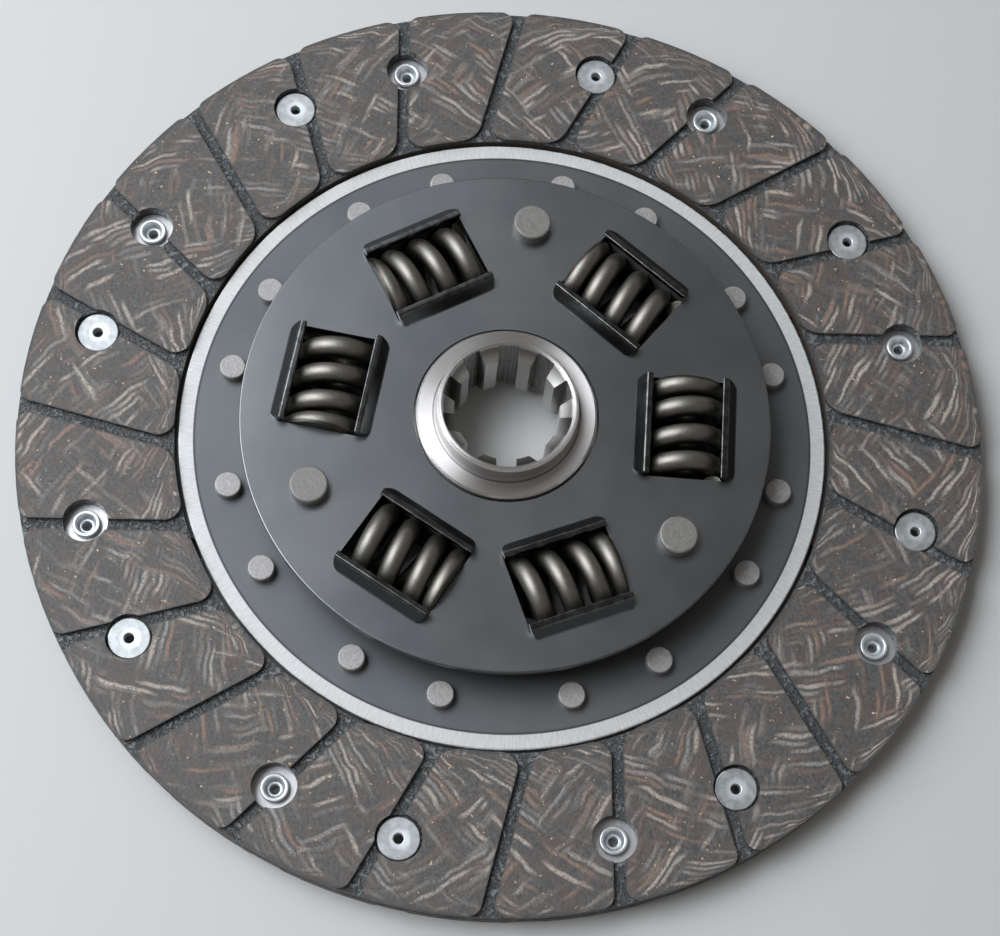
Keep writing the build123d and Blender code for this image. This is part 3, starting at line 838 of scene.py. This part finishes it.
# %% Turned and broached steel
TURNED_DULL = (0.50, 0.480, 0.474, 1.0)
TURNED_BRIGHT = (0.76, 0.732, 0.728, 1.0)
BOSS_SHADE = (0.22, 0.21, 0.20, 1.0)
UNDERCUT_SHADE = (0.10, 0.095, 0.09, 1.0)
CORNER_GLINT = (0.92, 0.90, 0.89, 1.0)
BROACHED = (0.66, 0.65, 0.62, 1.0)
ROOT_SHADE = (0.09, 0.087, 0.078, 1.0)
FLANGE_DARK = (0.10, 0.10, 0.095, 1.0)


def hub_finish():
    material, tree, shader = new_finish("turned_steel")
    point = surface_point(tree)
    radius, angle, height = polar_parts(tree, point)
    inside, end, corner_glint, flange = hub_places(radius, height)

    # The turning marks run round the axis, and the broach's marks run along it.
    rings = cloud(tree, vector_of(tree, radius, height * 1.5, 0), 0.4, detail=3, roughness=0.6)
    broached = cloud(tree, vector_of(tree, angle * 15, radius, height * 0.05), 0.5, detail=3, roughness=0.6)
    marks = rings * inside.opposite() + broached.spread(0.3, 0.7) * inside

    # Away from its end faces the boss is darker, down to its foot, and so is a ring at the undercut: painted
    # shade.
    # Its corners and the collar's are glossier and get a painted highlight.
    foot = radius.ramp(BOSS_RADIUS + 1.2, BOSS_RADIUS + 0.5) * end.opposite() * inside.opposite()
    undercut = radius.near(BOSS_RADIUS + 0.8, 0.28, 0.10)
    colour = mixed(tree, marks, TURNED_DULL, TURNED_BRIGHT)
    colour = mixed(tree, foot * 0.5, colour, BOSS_SHADE)
    colour = mixed(tree, undercut * 0.75, colour, UNDERCUT_SHADE)
    colour = mixed(tree, corner_glint * 0.7, colour, CORNER_GLINT)

    # The broach leaves the tips bright; the bottoms of the spaces, away from the ends, are darkened as
    # painted shade.
    root_shade = radius.ramp(SPLINE_TIP_RADIUS + 0.2, SPLINE_TIP_RADIUS + 2.6) * inside * end.opposite()
    colour = mixed(tree, inside * 0.8, colour, BROACHED)
    colour = mixed(tree, root_shade * 0.72, colour, ROOT_SHADE)
    tree.links.new(mixed(tree, flange, colour, FLANGE_DARK), shader.inputs["Base Color"])

    turning = tree.nodes.new("ShaderNodeTangent")
    turning.direction_type = "RADIAL"
    turning.axis = "Z"
    tree.links.new(turning.outputs["Tangent"], shader.inputs["Tangent"])
    shader.inputs["Anisotropic"].default_value = 0.95
    shader.inputs["Anisotropic Rotation"].default_value = 0.25
    shader.inputs["Metallic"].default_value = 1.0
    gloss = marks.spread(0.36, 0.50) + flange * 0.15 - inside * 0.17 - corner_glint * 0.17
    plug(tree, gloss, shader.inputs["Roughness"])
    relief(tree, shader, marks, 0.012)
    return material


dress(hub_finish(), "hub_steel", "hub")

# %% [markdown]
# ## Damper springs
#
# Each spring is a thick wire wound right-handed, with its end coils closed up and ground flat, so that it
# stands square in its window. Turning the hub squeezes it, and a squeezed coil can't be a stiff copy of the
# construction solid, so the springs are wound again here, as a mesh that may deform.
#
# The winding goes as on a lathe: a circle, the wire's section, is screwed round the axis at one pitch. Then
# each point is moved along the axis by what its place in the winding asks for, which closes the ends, and a
# cut at each end takes away what grinding does.

# %% The spring's sizes
SPRING_WIRE = 5.1 * MM
SPRING_DIAMETER = 21.2 * MM
SPRING_LENGTH = 25.9 * MM
SPRING_END_PITCH = 5.16 * MM
SPRING_END_TURNS = 0.95
SPRING_MAIN_TURNS = 2.2
SPRING_PHASE = 0.28         # turns from the wire's end to where it first crosses the top
SPRING_AXIS_LEVEL = 11.2 * MM
WINDOW_RADIUS = 43.85 * MM              # the circle through the windows' middles
WINDOW_OFFSET = math.radians(33.5)      # of each window of a pair from its stop pin

spring_turns = 2 * SPRING_END_TURNS + SPRING_MAIN_TURNS
spring_end_rise = SPRING_END_PITCH * SPRING_END_TURNS
spring_main_pitch = (SPRING_LENGTH - 2 * spring_end_rise) / SPRING_MAIN_TURNS
print("spring of", spring_turns, "turns, open pitch", round(spring_main_pitch / MM, 2), "mm")


def coil_height(turn):
    """How far along the spring the wire's centre is after some turns."""
    if turn < SPRING_END_TURNS:
        return SPRING_END_PITCH * turn
    if turn > spring_turns - SPRING_END_TURNS:
        return SPRING_LENGTH - SPRING_END_PITCH * (spring_turns - turn)
    return spring_end_rise + spring_main_pitch * (turn - SPRING_END_TURNS)


# %% Wind one spring
WIRE_SIDES = 28
STEPS_PER_TURN = 40


def screw_wire():
    """The wire's section, screwed round the Z axis at the open pitch from the +X side."""
    coil_radius = (SPRING_DIAMETER - SPRING_WIRE) / 2
    upright = (math.pi / 2, 0, 0)
    bpy.ops.object.select_all(action="DESELECT")
    bpy.ops.mesh.primitive_circle_add(
        vertices=WIRE_SIDES, radius=SPRING_WIRE / 2, location=(coil_radius, 0, 0), rotation=upright
    )
    spring = bpy.context.object
    bpy.ops.object.transform_apply(location=True, rotation=True, scale=True)
    winding = spring.modifiers.new("winding", "SCREW")
    winding.axis = "Z"
    winding.angle = math.tau * spring_turns
    winding.screw_offset = spring_main_pitch * spring_turns
    winding.steps = round(STEPS_PER_TURN * spring_turns)
    winding.render_steps = winding.steps
    bpy.ops.object.modifier_apply(modifier=winding.name)
    return spring


first_spring = screw_wire()
print("the open coil has", len(first_spring.data.vertices), "points")

# %% Close its ends and grind them flat
SMOOTH_BELOW = math.radians(35)     # the ground ends meet the wire at sharper angles, and stay crisp


def close_ends(spring):
    """Draw the end coils together.

    Each ring of the wire lies in a plane through the axis, so a point's angle tells its part of a turn,
    and its height which turn that is.
    """
    for vertex in spring.data.vertices:
        part = math.atan2(vertex.co.y, vertex.co.x) / math.tau
        turn = part + round(vertex.co.z / spring_main_pitch - part)
        vertex.co.z += coil_height(turn) - spring_main_pitch * turn


def grind_ends():
    """Cut the open spring flat at both ends, and cap the cuts."""
    bpy.ops.object.mode_set(mode="EDIT")
    bpy.ops.mesh.select_all(action="SELECT")
    bpy.ops.mesh.remove_doubles(threshold=0.001 * MM)
    bpy.ops.mesh.fill_holes(sides=0)
    for level, side in ((0, -1), (SPRING_LENGTH, 1)):
        bpy.ops.mesh.select_all(action="SELECT")
        bpy.ops.mesh.bisect(plane_co=(0, 0, level), plane_no=(0, 0, side), use_fill=True, clear_outer=True)
    bpy.ops.mesh.select_all(action="SELECT")
    bpy.ops.mesh.normals_make_consistent(inside=False)
    bpy.ops.object.mode_set(mode="OBJECT")
    bpy.ops.object.shade_smooth_by_angle(angle=SMOOTH_BELOW)


close_ends(first_spring)
grind_ends()
print("one spring has", len(first_spring.data.polygons), "faces")

# %% [markdown]
# The wire is oil-blackened steel. The crest of each coil is lightened to a brownish bronze with a painted
# highlight, and the flanks keep the dark colour. The highlight is a matter of how far a point is from the
# spring's axis, but the springs lie in six directions, so each carries its own distance along as an
# attribute, written before it is placed.

# %% The wire's finish
WIRE_DARK = (0.050, 0.047, 0.040, 1.0)
WIRE_BROWN = (0.10, 0.093, 0.078, 1.0)
BRONZE_RED = (0.195, 0.165, 0.148, 1.0)
BRONZE_OLIVE = (0.172, 0.170, 0.132, 1.0)
CREST_HIGHLIGHT = (0.30, 0.284, 0.262, 1.0)


def mark_crest(spring):
    """Store how far each point stands from the spring's axis: 0 at the inside of the coil, 1 at its crest.

    At the ground ends it fades to 0 within a millimetre, so they get no painted highlight.
    """
    crest = spring.data.attributes.new("crest", "FLOAT", "POINT")
    inner = SPRING_DIAMETER / 2 - SPRING_WIRE
    for vertex, entry in zip(spring.data.vertices, crest.data):
        outward = (math.hypot(vertex.co.x, vertex.co.y) - inner) / SPRING_WIRE
        from_end = min(vertex.co.z, SPRING_LENGTH - vertex.co.z) / MM
        entry.value = outward * min(1, from_end)


def wire_finish():
    material, tree, shader = new_finish("oiled_wire")
    point = surface_point(tree)
    attribute = tree.nodes.new("ShaderNodeAttribute")
    attribute.attribute_name = "crest"
    crest = Field(tree, attribute.outputs["Fac"]).ramp(0.5, 1.0)
    scale = cloud(tree, point, 0.9, detail=4, roughness=0.75)
    blotch = cloud(tree, point, 3.5, detail=2, roughness=0.6)
    dark = mixed(tree, blotch, WIRE_DARK, WIRE_BROWN)
    bronze = mixed(tree, blotch.ramp(0.42, 0.58), BRONZE_RED, BRONZE_OLIVE)
    rubbed_sheen = mixed(tree, scale, bronze, CREST_HIGHLIGHT)
    # The crest gets the painted highlight; the flanks keep the dark wire colour.
    tree.links.new(mixed(tree, crest, dark, rubbed_sheen), shader.inputs["Base Color"])
    shader.inputs["Metallic"].default_value = 1.0
    plug(tree, scale.spread(0.38, 0.54), shader.inputs["Roughness"])
    relief(tree, shader, scale, 0.05)
    return material


mark_crest(first_spring)
first_spring.data.materials.append(wire_finish())
print(first_spring.active_material.name, "on the wire")

# %% [markdown]
# The springs lie along the circle through the windows' centres, two beside each stop pin. Each copy gets its
# own mesh and is moved by its vertices, so that its object stays at the origin like every other piece.

# %% Place the six springs
pin_angles = [PIN_ANGLE + math.tau / PIN_COUNT * pin for pin in range(PIN_COUNT)]
window_angles = [angle + side * WINDOW_OFFSET for angle in pin_angles for side in (-1, 1)]
up = Vector((0, 0, 1))
phase = Matrix.Rotation(-math.tau * SPRING_PHASE, 4, "Z")

for number, angle in enumerate(window_angles, 1):
    name = f"damper_spring_{number}"
    along = Vector((-math.sin(angle), math.cos(angle), 0))
    centre = Vector((math.cos(angle) * WINDOW_RADIUS, math.sin(angle) * WINDOW_RADIUS, SPRING_AXIS_LEVEL))
    turn = Matrix((up, (-along).cross(up), -along)).transposed().to_4x4()
    spring = first_spring.copy()
    spring.data = first_spring.data.copy()
    spring.name = f"coil_{number}"
    bpy.context.scene.collection.objects.link(spring)
    spring.data.transform(Matrix.Translation(centre + along * SPRING_LENGTH / 2) @ turn @ phase)
    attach(spring, "springs")
    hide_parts(name)
    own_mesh(spring)

bpy.data.objects.remove(first_spring)

# %% [markdown]
# ## The last update
#
# The last step brings the scene up to date.

# %% Update the scene
bpy.context.view_layer.update()
